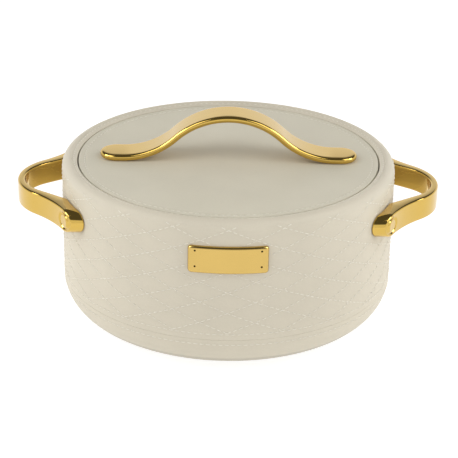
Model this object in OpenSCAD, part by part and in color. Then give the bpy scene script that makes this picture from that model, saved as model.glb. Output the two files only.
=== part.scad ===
// Insulated serving pot: a leather-covered shell round a steel bowl, a sunk lid that lifts off,
// a bow handle on the lid, one on each side, and a blank name plate on the front.
// The pot stands on z = 0 with its axis on z. The front faces -y and the side handles lie along x.

/* [Body] */
// Outside diameter of the leather-covered body
body_d = 280; // [272:1:310]
// Height of the body from its underside to the crown of the rim
body_h = 133.4; // [126:0.1:160]
// Radius of the rounded lower edge
base_fillet = 30; // [20:1:38]
// Radius of the rim's outer shoulder
shoulder_r = 8.5; // [6:0.1:8.6]
// Radius of the rim's inner roll
rim_roll_r = 4; // [2.6:0.1:4.2]
// Width of the rim from the wall to the lid's recess
rim_w = 12.9; // [12.8:0.1:16]
// Thickness of the leather
leather_t = 1.6; // [1:0.1:2]
// Wall of the outer shell
shell_t = 2.4; // [1.6:0.1:3.2]
// Height of the lower seam above the underside
seam_h = 30.6; // [24:0.1:40]
// Gap left where two leather edges meet
seam_gap = 0.3; // [0.1:0.1:0.6]

/* [Rim ring] */
// Width of the ledge that carries the bowl's flange
seat_w = 10.1; // [9:0.1:14]
// Thickness of the rim ring under its ledge
ledge_t = 4.2; // [3:0.1:6]
// Depth of the spigot inside the shell
spigot_h = 4; // [3:0.1:4.5]
// Wall of the spigot
spigot_t = 3; // [2:0.1:4]
// Radial gap between spigot and shell
spigot_gap = 0.2; // [0.1:0.05:0.4]

/* [Bowl] */
// Thickness of the bowl's steel
bowl_t = 1; // [0.6:0.1:1.4]
// Radius of the bowl's lower corner, inside
bowl_fillet = 25; // [12:1:40]
// Height of the bowl's floor, inside, above the underside
bowl_floor_h = 20; // [18:0.5:30]
// Gap between the bowl's flange and the rim leather
flange_gap = 0.5; // [0.3:0.1:1]
// Gap between the bowl's wall and the rim ring
bowl_gap = 0.3; // [0.1:0.1:0.6]
// Gap left round the foam
foam_gap = 0.3; // [0.1:0.1:0.6]

/* [Base] */
// Height that the feet lift the body
foot_rise = 2; // [1.6:0.1:5]
// Diameter of a foot
foot_d = 18; // [12:1:24]
// Depth of a foot's recess in the base plate
foot_recess = 1.2; // [0.6:0.1:1.6]
// Radial gap round a foot in its recess
foot_gap = 0.1; // [0.05:0.05:0.3]
// Distance from the base plate's edge in to the feet and the base screws
foot_inset = 20; // [16:1:30]
// Distance from the edge of the flat underside in to the base plate's edge
base_plate_inset = 2; // [1:0.5:6]
// Thickness of the base plate's edge, which lies below the leather
base_edge_t = 1.2; // [0.8:0.1:1.4]
// Width of leather held under the base plate's edge
leather_tuck = 4; // [3:0.5:8]
// Radial gap between the base plate and the leather's lower edge
base_plate_gap = 0.3; // [0.1:0.1:0.6]
// Diameter of the opening in the shell's floor
port_d = 120; // [80:1:140]
// Diameter of a screw boss on the shell's floor
boss_d = 8; // [6:0.5:10]
// Height of a screw boss above the shell's floor
boss_h = 10; // [8:0.5:12]

/* [Side handles] */
// Reach of a side handle beyond the wall
grip_reach = 38.2; // [32:0.1:46]
// Width of a side handle over its two ends
grip_w = 159; // [150:1:172]
// Height of a side handle's band
grip_h = 19.5; // [16:0.5:24]
// Thickness of a side handle's arch
grip_t = 6.5; // [5:0.1:8]
// Rounding of a side handle's edges
grip_edge = 2.5; // [0.8:0.1:2.9]
// Gap between the rim ring's spigot and the washers of the side handles' screws below it
grip_gap = 2.1; // [0.5:0.1:40]
// Outside radius of a side handle's arch
grip_arch_r = 48; // [43:0.5:53]
// Angle from the handle's middle to the end of its arch
grip_arm_a = 50; // [46:1:53]
// Radius of the reverse bend in the outer face of each arm
grip_bend_r = 110; // [80:1:150]
// Inside radius of a side handle's arch
grip_in_r = 36; // [32:0.5:40]
// Angle from the handle's middle to the end of its arch, inside
grip_in_a = 54; // [50:1:56]

/* [Name plate] */
// Width of the name plate
name_w = 63; // [50:0.5:80]
// Height of the name plate
name_h = 23; // [19:0.5:30]
// Thickness of the name plate
name_t = 2.8; // [1.6:0.1:3.4]
// Corner radius of the name plate
name_corner = 2.6; // [1:0.1:4]
// Distance from the shell's top edge down to the plate's upper pins
pin_drop = 3.5; // [2:0.1:40]
// Distance from the plate's ends in to its pins
pin_end_inset = 5.5; // [3:0.1:12]
// Distance from the plate's upper edge down to its upper pins
pin_top_inset = 3.5; // [3:0.1:7]
// Distance from the plate's lower edge up to its lower pins
pin_low_inset = 6.1; // [3:0.1:8]
// Diameter of a pin
pin_d = 1.5; // [1:0.1:2]
// Radial gap round a pin
pin_gap = 0.1; // [0.05:0.05:0.2]
// Depth of a pin's head below the plate's face
pin_sink = 0.5; // [0.2:0.1:1]

/* [Lid] */
// Depth of the lid's top below the crown of the rim
lid_drop = 2.6; // [1.5:0.1:4]
// Gap between the lid's edge and the rim
lid_gap = 1.2; // [0.8:0.1:1.6]
// Thickness of the lid's board
board_t = 8; // [7:0.5:12]
// Rounding of the lid cover's top edge
lid_edge_r = 1.2; // [0.5:0.1:1.5]
// Thickness of the lid pan's steel
pan_t = 1; // [0.6:0.1:1.4]
// Depth of the lid's plug below the pan's flange
plug_h = 24; // [14:0.5:34]
// Rounding of the plug's lower edge
plug_fillet = 6; // [2:0.5:10]
// Gap between the plug and the bowl's wall
plug_gap = 4; // [3.4:0.1:5]
// Distance from the board's edge in to the edge of the pan's flange
pan_inset = 1; // [0.5:0.1:2]

/* [Lid handle] */
// Length of the lid handle over its ends
bow_len = 216.5; // [190:0.5:226]
// Width of the lid handle's band
bow_w = 28.5; // [20:0.5:30]
// Thickness of the lid handle's band
bow_t = 5.6; // [5:0.1:8]
// Rounding of the lid handle's edges
bow_edge = 2.5; // [1:0.1:3.4]
// Height that the band rises from its ends to its crown
bow_rise = 35.4; // [28:0.1:44]
// Length of each flat end
bow_foot = 19; // [16:0.5:26]

/* [Seal] */
// Thickness of the seal under the lid
seal_t = 2.5; // [1.5:0.1:4]
// Depth of the seal's lip inside the bowl
seal_lip_h = 8; // [4:0.5:12]
// Wall of the seal's lip
seal_lip_t = 1.8; // [1:0.1:2.2]
// Gap between the seal's lip and the bowl
seal_gap = 0.4; // [0.3:0.1:0.8]
// Distance from the edge of the bowl's flange in to the edge of the seal
seal_inset = 2; // [1:0.1:3]

/* [Fasteners] */
// Shank diameter of a handle screw
handle_screw_d = 4; // [3:0.5:4.5]
// Head diameter of a handle screw
handle_head_d = 8; // [7:0.1:8.4]
// Head height of a handle screw
handle_head_h = 2.6; // [2:0.1:2.8]
// Outside diameter of a washer
washer_d = 10; // [9:0.1:10.4]
// Thickness of a washer
washer_t = 1; // [0.6:0.1:1.2]
// Metal left over the end of a blind hole
blind_skin = 1.5; // [1:0.1:2.5]
// Shank diameter of a base screw
base_screw_d = 3; // [2.5:0.1:3.5]
// Head diameter of a base screw
base_head_d = 5.6; // [5:0.1:6.5]
// Head height of a base screw
base_head_h = 1.4; // [1:0.1:1.6]
// Material left over the end of a base screw's hole
boss_skin = 1; // [0.5:0.1:3]
// Radial gap round a shank in a clearance hole
screw_gap = 0.2; // [0.1:0.05:0.4]
// Radial gap round a shank in the hole that it bites in
thread_gap = 0.05; // [0.02:0.01:0.1]
// Gap round a screw's head or a washer
head_gap = 0.3; // [0.2:0.1:0.5]
// Width of a screw's cross recess
cross_w = 0.9; // [0.6:0.1:1.2]
// Gap between a metal fitting and the leather that it lies on
fitting_gap = 0.05; // [0.02:0.01:0.1]

/* [Hidden] */
$fn = 128;

leather_color = [0.86, 0.83, 0.75];
lid_leather_color = [0.80, 0.77, 0.70];
gold_color = [0.88, 0.68, 0.30];
steel_color = [0.75, 0.76, 0.77];
plastic_color = [0.30, 0.29, 0.28];
foam_color = [0.93, 0.88, 0.70];
rubber_color = [0.16, 0.16, 0.16];
silicone_color = [0.82, 0.82, 0.80];
board_color = [0.55, 0.45, 0.34];

// Room added to a cut so that it passes clean through a face
cut = 1;

// Main radii and heights
body_r = body_d / 2;
shell_r = body_r - leather_t;
shell_in_r = shell_r - shell_t;
rim_in_r = body_r - rim_w;
crown_seam_r = body_r - shoulder_r;
under_z = foot_rise;
crown_z = under_z + body_h;
seam_z = under_z + seam_h;
shell_floor_z = under_z + leather_t + shell_t;
shell_fillet = base_fillet - leather_t;

// Stack of the lid, from its top down to the ledge that carries the bowl
lid_top_z = crown_z - lid_drop;
board_top_z = lid_top_z - leather_t;
board_z = board_top_z - board_t;
pan_z = board_z - pan_t;
flange_top_z = pan_z - seal_t;
seat_z = flange_top_z - bowl_t;
shell_top_z = seat_z - ledge_t;
spigot_z = shell_top_z - spigot_h;

// Bowl, seal and lid radii
bowl_r = rim_in_r - seat_w;
bowl_floor_z = under_z + bowl_floor_h;
flange_r = rim_in_r - flange_gap;
ring_in_r = bowl_r + bowl_t + bowl_gap;
lid_r = rim_in_r - lid_gap;
board_r = lid_r - leather_t;
plug_r = bowl_r - plug_gap;
plug_z = pan_z - plug_h;
lip_r = bowl_r - seal_gap;

// Base
base_plate_r = body_r - base_fillet - base_plate_inset;
tuck_r = base_plate_r - leather_tuck;
base_plate_z = under_z - base_edge_t;
foot_ring_r = base_plate_r - foot_inset;
foot_h = base_plate_z + foot_recess;
foot_angles = [225, 315, 135, 45];
base_screw_angles = [0, 90, 180, 270];

// Plan of a side handle: an arch, then arms that are hollow outside and thicken to the wall
grip_mid_z = spigot_z - grip_gap - washer_d / 2;
arch_x = body_r + grip_reach - grip_arch_r;
arch_end_y = grip_arch_r * sin(grip_arm_a);
inner_x = body_r + grip_reach - grip_t - grip_in_r;
arm_in = inner_x * cos(grip_in_a) + grip_in_r;
bend_x = arch_x + (grip_arch_r + grip_bend_r) * cos(grip_arm_a);
bend_y = (grip_arch_r + grip_bend_r) * sin(grip_arm_a);
pad_in_r = body_r + fitting_gap;
pad_end_r = grip_h / 2;
pad_mid_y = grip_w / 2 - pad_end_r;
grip_screw_a = asin(pad_mid_y / pad_in_r);
pad_out_r = bend_reach(grip_screw_a);
grip_screw_angles = [for (side = [0, 180], s = [-1, 1]) side + s * grip_screw_a];

// A flat washer on the hollow side of the shell touches at its edges
washer_face_r = sqrt(pow(shell_in_r, 2) - pow(washer_d / 2, 2)) - fitting_gap;

// Name plate
pin_across = name_w - 2 * pin_end_inset;
pin_up = name_h - pin_top_inset - pin_low_inset;
pin_top_z = shell_top_z - pin_drop;
name_mid_z = pin_top_z + pin_top_inset - name_h / 2;
name_in_r = body_r + fitting_gap;
name_out_r = name_in_r + name_t;
name_front_a = 270;
name_span_a = 2 * asin((name_w / 2 + cut) / name_in_r);
pin_a = asin(pin_across / 2 / name_out_r);

// Side view of the lid handle: equal arcs from the crown to the flat ends
bow_foot_x = bow_len / 2 - bow_foot;
bow_slope_a = 2 * atan2(bow_rise, bow_foot_x);
bow_arc_r = bow_foot_x / 2 / sin(bow_slope_a);
bow_end_r = bow_w / 2;
bow_screw_x = bow_len / 2 - bow_end_r;
head_pocket_h = washer_t + handle_head_h + head_gap;

// Steps of a swept band: round a corner of its section, along an arc, along an arm, and round an end
corner_steps = 3;
arc_steps = 8;
arm_steps = 10;
end_angles = [15, 30, 45, 60, 72, 82];
// Largest share of a band's half section that its rounding takes
round_share = 0.9;

// Bow of a band in plan, from its middle to one end.
// A station is [x, y, angle of its section, half width, inner and outer offset].
function grip_half() = concat(
    [for (i = [0:arc_steps])
        let (
            a = grip_arm_a * i / arc_steps,
            p = [arch_x + grip_arch_r * cos(a), grip_arch_r * sin(a)]
        )
        [p[0], p[1], a, grip_h / 2, -grip_depth(p, a), 0]],
    [for (i = [1:arm_steps]) let (f = i / arm_steps)
        arm_station(arch_end_y + (pad_mid_y - arch_end_y) * f, grip_arm_a * (1 - f), grip_h / 2, 0)],
    [for (u = end_angles)
        arm_station(
            pad_mid_y + pad_end_r * sin(u), 0, pad_end_r * cos(u), end_dip(pad_end_r, grip_edge, u)
        )]
);

// Station of an arm at a distance y from the handle's middle
function arm_station(y, a, half_h, dip) =
    let (p = [bend_x - sqrt(pow(grip_bend_r, 2) - pow(bend_y - y, 2)), y])
    [p[0], p[1], a, half_h, -grip_depth(p, a), -dip];

// Depth of a side handle at an angle, from a point on its outer face to the inside of its arch,
// to the straight inside of its arm or to the wall
function grip_depth(p, a) =
    let (
        d = [cos(a), sin(a)],
        n = [cos(grip_in_a), sin(grip_in_a)],
        from_arch = p - [inner_x, 0],
        to_arch = depth_to_circle(from_arch, d, grip_in_r),
        hit = from_arch - to_arch * d,
        to_arm = (n * p - arm_in) / (n * d)
    )
    min(atan2(hit[1], hit[0]) < grip_in_a ? to_arch : to_arm, depth_to_circle(p, d, pad_in_r));

// Distance from a point, against a direction d, to a circle of radius r round the origin
function depth_to_circle(p, d, r) =
    let (run = d * p)
    run - sqrt(max(0, pow(run, 2) - p * p + pow(r, 2)));

// Distance from the pot's axis to an arm's outer face, at an angle
function bend_reach(a) =
    let (run = bend_x * cos(a) + bend_y * sin(a))
    run - sqrt(pow(run, 2) - pow(bend_x, 2) - pow(bend_y, 2) + pow(grip_bend_r, 2));

// The same for the lid handle, in its side view
function bow_half() = concat(
    [for (i = [0:arc_steps]) let (a = 90 - bow_slope_a * i / arc_steps)
        [bow_arc_r * cos(a), bow_t / 2 + bow_rise - bow_arc_r * (1 - sin(a)), a, bow_w / 2,
            -bow_t / 2, bow_t / 2]],
    [for (i = [1:arc_steps]) let (a = 90 - bow_slope_a * (1 - i / arc_steps))
        [bow_foot_x - bow_arc_r * cos(a), bow_t / 2 + bow_arc_r * (1 - sin(a)), a, bow_w / 2,
            -bow_t / 2, bow_t / 2]],
    [[bow_screw_x, bow_t / 2, 90, bow_w / 2, -bow_t / 2, bow_t / 2]],
    [for (u = end_angles) let (dip = end_dip(bow_end_r, bow_edge, u))
        [bow_screw_x + bow_end_r * sin(u), bow_t / 2, 90, bow_end_r * cos(u), dip - bow_t / 2,
            bow_t / 2 - dip]]
);

// How far a rounded face has dropped near a round end of radius r, at an angle towards its tip
function end_dip(r, edge, u) =
    let (d = min(edge, r * (1 - sin(u))))
    edge - sqrt(pow(edge, 2) - pow(edge - d, 2));

// Mirror image of a station across the bow's middle, which lies on the x axis or on the y axis
function flip_y(s) = [s[0], -s[1], -s[2], s[3], s[4], s[5]];
function flip_x(s) = [-s[0], s[1], 180 - s[2], s[3], s[4], s[5]];

// Rounded section of a band at a station, in plan coordinates with the band's width along z
function band_ring(s, edge) =
    let (e = min(edge, round_share * s[3], round_share * (s[5] - s[4]) / 2))
    [for (q = [0:3], k = [0:corner_steps])
        let (
            u = 90 * (q + k / corner_steps),
            side = q == 0 || q == 3 ? 1 : -1,
            n = (q < 2 ? s[5] - e : s[4] + e) + e * sin(u),
            z = side * (s[3] - e) + e * cos(u)
        )
        [s[0] + n * cos(s[2]), s[1] + n * sin(s[2]), z]];

// Closed band through a row of stations
module swept_band(stations, edge) {
    m = 4 * (corner_steps + 1);
    last = len(stations) - 1;
    points = [for (s = stations) each band_ring(s, edge)];
    sides = [for (j = [0:last - 1], k = [0:m - 1])
        let (a = j * m + k, b = j * m + (k + 1) % m)
        each [[a, b, b + m], [a, b + m, a + m]]];
    caps = [for (k = [1:m - 2]) each [[0, k + 1, k], [last * m, last * m + k, last * m + k + 1]]];
    polyhedron(points, concat(sides, caps), convexity = 6);
}

// Rounded rectangle centred on the origin
module rounded_rect(w, h, r) {
    square([w - 2 * r, h], center = true);
    square([w, h - 2 * r], center = true);
    for (x = [-1, 1], y = [-1, 1])
        translate([x * (w / 2 - r), y * (h / 2 - r)])
            circle(r);
}

// Rectangle from one corner to the opposite one
module span(low, high) {
    translate(low)
        square(high - low);
}

// Points z outwards from the pot's axis at an angle and a height
module radial(a, z) {
    rotate([0, 0, a])
        translate([0, 0, z])
            rotate([0, 90, 0])
                children();
}

// Half section of the pot's outside without its lid, inset by a layer
module envelope(inset) {
    wall = body_r - inset;
    low = under_z + inset;
    high = crown_z - inset;
    inner = rim_in_r + inset;
    fillet = base_fillet - inset;
    shoulder = shoulder_r - inset;
    roll = rim_roll_r - inset;
    cup_section(wall, low, seat_z, fillet);
    span([inner, low + fillet], [wall, high - shoulder]);
    span([inner, low + fillet], [wall - shoulder, high - roll]);
    span([inner + roll, low + fillet], [wall - shoulder, high]);
    translate([wall - shoulder, high - shoulder])
        intersection() {
            circle(shoulder);
            span([0, -shoulder], [shoulder, shoulder]);
        }
    translate([inner + roll, high - roll])
        circle(roll);
}

// Half section of the leather over the whole outside
module leather_section() {
    difference() {
        envelope(0);
        envelope(leather_t);
    }
}

// Half section of a cup with a rounded lower corner
module cup_section(r, low, high, fillet) {
    span([0, low + fillet], [r, high]);
    span([0, low], [r - fillet, high]);
    translate([r - fillet, low + fillet])
        circle(fillet);
}

// Pan-head screw: the head stands on z = 0 and the shank runs up
module screw(shank_d, shank_l, head_d, head_h) {
    difference() {
        union() {
            translate([0, 0, -head_h])
                cylinder(d = head_d, h = head_h);
            cylinder(d = shank_d, h = shank_l);
        }
        translate([0, 0, -head_h])
            for (a = [0, 90])
                rotate([0, 0, a])
                    cube([head_d / 2, cross_w, head_h], center = true);
    }
}

module washer() {
    difference() {
        cylinder(d = washer_d, h = washer_t);
        translate([0, 0, -cut])
            cylinder(d = handle_screw_d + 2 * screw_gap, h = washer_t + 2 * cut);
    }
}

// Places its children at each side handle's screws, z outwards from the shell's inner face
module at_grip_screws() {
    for (a = grip_screw_angles)
        radial(a, grip_mid_z)
            translate([0, 0, washer_face_r])
                children();
}

// Places its children at each pin of the name plate, z outwards from the pot's axis
module at_pins() {
    for (s = [-1, 1], z = [pin_top_z, pin_top_z - pin_up])
        radial(name_front_a + s * pin_a, z)
            children();
}

// Places its children at each base screw's place on the floor
module at_base_screws() {
    for (a = base_screw_angles)
        rotate([0, 0, a])
            translate([foot_ring_r, 0, 0])
                children();
}

// Places its children at each screw of the lid handle, at the lid's top
module at_bow_screws() {
    for (s = [-1, 1])
        translate([s * bow_screw_x, 0, lid_top_z])
            children();
}

// Holes for the screws and pins that pass through the wall
module wall_holes() {
    at_grip_screws()
        cylinder(d = handle_screw_d + 2 * screw_gap, h = pad_in_r);
    at_pins()
        cylinder(d = pin_d + 2 * pin_gap, h = name_out_r);
}

module outer_shell() {
    color(plastic_color)
        difference() {
            union() {
                rotate_extrude()
                    difference() {
                        cup_section(shell_r, under_z + leather_t, shell_top_z, shell_fillet);
                        cup_section(shell_in_r, shell_floor_z, shell_top_z + cut, shell_fillet - shell_t);
                        span([0, 0], [port_d / 2, shell_floor_z + cut]);
                    }
                at_base_screws()
                    translate([0, 0, shell_floor_z - shell_t])
                        cylinder(d = boss_d, h = shell_t + boss_h);
            }
            wall_holes();
            at_base_screws()
                cylinder(d = base_screw_d + 2 * thread_gap, h = shell_floor_z + boss_h - boss_skin);
        }
}

module rim_ring() {
    spigot_r = shell_in_r - spigot_gap;
    color(plastic_color)
        rotate_extrude() {
            intersection() {
                envelope(leather_t);
                span([ring_in_r, shell_top_z], [body_r, crown_z]);
            }
            span([spigot_r - spigot_t, spigot_z], [spigot_r, shell_top_z + cut]);
        }
}

module inner_bowl() {
    color(steel_color)
        rotate_extrude() {
            difference() {
                cup_section(bowl_r + bowl_t, bowl_floor_z - bowl_t, flange_top_z, bowl_fillet + bowl_t);
                cup_section(bowl_r, bowl_floor_z, flange_top_z + cut, bowl_fillet);
            }
            span([bowl_r + bowl_t / 2, seat_z], [flange_r, flange_top_z]);
        }
}

module insulation_foam() {
    foam_top_z = spigot_z - foam_gap;
    bowl_clear = bowl_t + foam_gap;
    color(foam_color)
        difference() {
            rotate_extrude()
                difference() {
                    cup_section(
                        shell_in_r - foam_gap, shell_floor_z + foam_gap, foam_top_z,
                        shell_fillet - shell_t - foam_gap
                    );
                    cup_section(
                        bowl_r + bowl_clear, bowl_floor_z - bowl_clear, crown_z,
                        bowl_fillet + bowl_clear
                    );
                }
            at_grip_screws()
                translate([0, 0, -head_pocket_h])
                    cylinder(d = washer_d + 2 * head_gap, h = head_pocket_h + shell_t);
            at_base_screws()
                cylinder(d = boss_d + 2 * foam_gap, h = shell_floor_z + boss_h + foam_gap);
        }
}

module wall_cover() {
    color(leather_color)
        difference() {
            rotate_extrude()
                intersection() {
                    leather_section();
                    translate([seam_gap / 2, seam_gap / 2])
                        span([crown_seam_r, seam_z], [body_r + cut, crown_z + cut]);
                }
            wall_holes();
        }
}

module rim_cover() {
    color(leather_color)
        rotate_extrude()
            intersection() {
                leather_section();
                span([0, seat_z], [crown_seam_r - seam_gap / 2, crown_z + cut]);
            }
}

module base_band() {
    color(leather_color)
        rotate_extrude()
            intersection() {
                leather_section();
                span([tuck_r, 0], [body_r + cut, seam_z - seam_gap / 2]);
            }
}

module base_plate() {
    color(plastic_color)
        difference() {
            rotate_extrude() {
                span([0, base_plate_z], [base_plate_r, under_z]);
                span([0, base_plate_z], [tuck_r - base_plate_gap, under_z + leather_t]);
            }
            for (a = foot_angles)
                rotate([0, 0, a])
                    translate([foot_ring_r, 0, base_plate_z - cut])
                        cylinder(d = foot_d + 2 * foot_gap, h = foot_recess + cut);
            at_base_screws() {
                cylinder(d = base_screw_d + 2 * screw_gap, h = shell_floor_z);
                cylinder(d = base_head_d + 2 * head_gap, h = base_plate_z + base_head_h + screw_gap);
            }
        }
}

module foot(i) {
    color(rubber_color)
        rotate([0, 0, foot_angles[i]])
            translate([foot_ring_r, 0, 0])
                cylinder(d = foot_d, h = foot_h);
}

module base_screws() {
    head_z = base_plate_z + base_head_h + screw_gap;
    shank_l = shell_floor_z + boss_h - boss_skin - screw_gap - head_z;
    color(steel_color)
        at_base_screws()
            translate([0, 0, head_z])
                screw(base_screw_d, shank_l, base_head_d, base_head_h);
}

module side_handle() {
    half = grip_half();
    bore_h = pad_out_r - blind_skin;
    color(gold_color)
        difference() {
            translate([0, 0, grip_mid_z])
                swept_band(concat([for (i = [len(half) - 1:-1:1]) flip_y(half[i])], half), grip_edge);
            for (s = [-1, 1])
                radial(s * grip_screw_a, grip_mid_z)
                    cylinder(d = handle_screw_d + 2 * thread_gap, h = bore_h);
        }
}

module side_handle_left() {
    mirror([1, 0, 0])
        side_handle();
}

module side_handle_right() {
    side_handle();
}

module side_handle_screws() {
    shank_l = pad_out_r - blind_skin - screw_gap - washer_face_r + washer_t;
    color(steel_color)
        at_grip_screws()
            translate([0, 0, -washer_t])
                screw(handle_screw_d, shank_l, handle_head_d, handle_head_h);
}

module side_handle_washers() {
    color(steel_color)
        at_grip_screws()
            translate([0, 0, -washer_t])
                washer();
}

module name_plate() {
    color(gold_color)
        difference() {
            intersection() {
                rotate([0, 0, name_front_a - name_span_a / 2])
                    rotate_extrude(angle = name_span_a)
                        span([name_in_r, name_mid_z - name_h], [name_out_r, name_mid_z + name_h]);
                translate([0, 0, name_mid_z])
                    rotate([90, 0, 0])
                        linear_extrude(name_out_r + cut)
                            rounded_rect(name_w, name_h, name_corner);
            }
            at_pins()
                cylinder(d = pin_d + 2 * pin_gap, h = name_out_r + cut);
        }
}

module name_plate_pins() {
    color(gold_color)
        at_pins()
            translate([0, 0, shell_in_r])
                cylinder(d = pin_d, h = name_out_r - pin_sink - shell_in_r);
}

module lid_seal() {
    color(silicone_color)
        rotate_extrude() {
            span([lip_r - seal_lip_t, flange_top_z], [flange_r - seal_inset, pan_z]);
            span([lip_r - seal_lip_t, flange_top_z - seal_lip_h], [lip_r, pan_z]);
        }
}

module lid_board() {
    color(board_color)
        difference() {
            translate([0, 0, board_z])
                cylinder(r = board_r, h = board_t);
            at_bow_screws()
                translate([0, 0, -leather_t - board_t - cut]) {
                    cylinder(d = handle_screw_d + 2 * screw_gap, h = board_t + 2 * cut);
                    cylinder(d = washer_d + 2 * head_gap, h = head_pocket_h + cut);
                }
        }
}

module lid_cover() {
    color(lid_leather_color)
        difference() {
            rotate_extrude()
                difference() {
                    union() {
                        span([0, board_z], [lid_r, lid_top_z - lid_edge_r]);
                        span([0, board_z], [lid_r - lid_edge_r, lid_top_z]);
                        translate([lid_r - lid_edge_r, lid_top_z - lid_edge_r])
                            circle(lid_edge_r);
                    }
                    span([0, board_z - cut], [board_r, board_top_z]);
                }
            at_bow_screws()
                translate([0, 0, -leather_t - cut])
                    cylinder(d = handle_screw_d + 2 * screw_gap, h = leather_t + 2 * cut);
        }
}

module lid_pan() {
    color(steel_color)
        rotate_extrude() {
            difference() {
                cup_section(plug_r, plug_z, board_z, plug_fillet);
                cup_section(plug_r - pan_t, plug_z + pan_t, board_z + cut, plug_fillet - pan_t);
            }
            span([plug_r - pan_t / 2, pan_z], [board_r - pan_inset, board_z]);
        }
}

module lid_insulation() {
    low = plug_z + pan_t + foam_gap;
    color(foam_color)
        rotate_extrude()
            cup_section(plug_r - pan_t - foam_gap, low, board_z - foam_gap, plug_fillet - pan_t);
}

module lid_handle() {
    half = bow_half();
    color(gold_color)
        difference() {
            translate([0, 0, lid_top_z])
                rotate([90, 0, 0])
                    swept_band(concat([for (i = [len(half) - 1:-1:1]) flip_x(half[i])], half), bow_edge);
            at_bow_screws()
                translate([0, 0, -cut])
                    cylinder(d = handle_screw_d + 2 * thread_gap, h = bow_t - blind_skin + cut);
        }
}

module lid_handle_screws() {
    seat = -leather_t - board_t + head_pocket_h - washer_t;
    color(steel_color)
        at_bow_screws()
            translate([0, 0, seat])
                screw(handle_screw_d, bow_t - blind_skin - screw_gap - seat, handle_head_d, handle_head_h);
}

module lid_handle_washers() {
    color(steel_color)
        at_bow_screws()
            translate([0, 0, -leather_t - board_t + head_pocket_h - washer_t])
                washer();
}

outer_shell();
rim_ring();
inner_bowl();
insulation_foam();
wall_cover();
rim_cover();
base_band();
base_plate();
foot(0);  // foot_front_left
foot(1);  // foot_front_right
foot(2);  // foot_rear_left
foot(3);  // foot_rear_right
base_screws();
side_handle_left();
side_handle_right();
side_handle_screws();
side_handle_washers();
name_plate();
name_plate_pins();
lid_seal();
lid_board();
lid_cover();
lid_pan();
lid_insulation();
lid_handle();
lid_handle_screws();
lid_handle_washers();
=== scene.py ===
"""Looks of the insulated serving pot: sewn leather, polished gold metal, steel, and a white studio."""

import math

import bmesh
import bpy
import numpy as np
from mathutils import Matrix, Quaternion, Vector


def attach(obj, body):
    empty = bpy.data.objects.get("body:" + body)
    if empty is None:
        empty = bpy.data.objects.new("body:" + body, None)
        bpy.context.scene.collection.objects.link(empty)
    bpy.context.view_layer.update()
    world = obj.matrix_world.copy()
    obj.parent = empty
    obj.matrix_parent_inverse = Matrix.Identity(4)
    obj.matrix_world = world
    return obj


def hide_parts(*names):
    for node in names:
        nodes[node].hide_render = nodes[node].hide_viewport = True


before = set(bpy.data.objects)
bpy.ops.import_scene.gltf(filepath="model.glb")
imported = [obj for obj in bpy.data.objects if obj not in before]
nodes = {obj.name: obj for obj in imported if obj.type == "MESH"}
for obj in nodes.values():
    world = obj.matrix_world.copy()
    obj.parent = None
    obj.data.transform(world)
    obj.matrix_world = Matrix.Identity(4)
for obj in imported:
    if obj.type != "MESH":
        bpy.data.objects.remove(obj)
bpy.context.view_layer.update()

MM = 0.001

# Sizes of the pot in millimetres, with z = 0 under the feet
BODY_R = 140.0
CROWN_Z = 135.4
UNDER_Z = 2.0
LEATHER_T = 1.6
BASE_FILLET = 30.0
SHOULDER_R = 8.5
RIM_IN_R = 127.1
RIM_ROLL_R = 4.0
RIM_LOW_Z = 118.7
SEAM_Z = 32.6
TUCK_R = 104.0
# Gap of a seam, radius of the leather folded into it, and how far the crown's seam is drawn in
SEAM_GAP = 0.06
FOLD_R = 0.2
SEAM_DIP = 0.15
# The leather round the lid is pressed down to a cone: its radius at the lid's height and its slope
PRESS_R = 127.4
PRESS_SLOPE = 0.40
# Faces round the quilted wall and round the other covers
WALL_COLUMNS = 720
COVER_COLUMNS = 512
# Distance within which a point counts as lying on a face
ON_FACE = 0.01
# Angle at which the wall cover's inner side ends, just short of the crown
INNER_END_A = 89.7

# Lid
LID_R = 126.1
LID_TOP_Z = 132.8
LID_LOW_Z = 123.2
LID_EDGE_R = 0.6
# Width of the finer faces inside the lid's row of stitches
LID_FINE_W = 6.0

# Diamond cells of the quilted wall, and the height of one ring of crossings
CELLS = 20
CELL_W = 2 * math.pi * BODY_R / CELLS
CELL_H = 17.8
CROSSING_Z = 110.1
QUILT_LOW_Z = 38.6
QUILT_HIGH_Z = 131.9
# The quilting fades out over a length, below its lowest stitches and up to a margin above its highest
QUILT_FADE = 3.0
QUILT_PAST = 1.0

# Rows of stitches
WALL_ROW_Z = 37.8
BASE_ROW_Z = 28.3
RIM_ROW_R = 130.2
LID_ROW_R = 121.0
STITCH_PITCH = 5.0
STITCH_LENGTH = 3.9
STITCH_SIDES = 8
STITCH_RINGS = 6
THREAD_D = 0.68
# Shares of the thread's thickness: how far its middle stands up, how far its ends dip below that, its height
THREAD_LIFT = 0.24
THREAD_DIP = 0.65
THREAD_FLAT = 0.6

# Sewn grooves and the raised diamonds between them. Ring grooves have a depth and a width.
GROOVE_DEPTH = 0.02
GROOVE_WIDTH = 0.9
PUFF_DEPTH = 0.05
PUFF_WIDTH = 4.5
RIM_GROOVE = (0.15, 0.7)
LID_GROOVE = (0.4, 1.1)
# Share of the painted shade in grooves, and of the painted shade along the lower edge, which begins at a
# height and fades in
GROOVE_PAINTED_SHADE = 0.07
BASE_EDGE_PAINTED_SHADE = 0.52
BASE_SHADE_Z = 13.6
BASE_SHADE_FADE = 2.2

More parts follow.
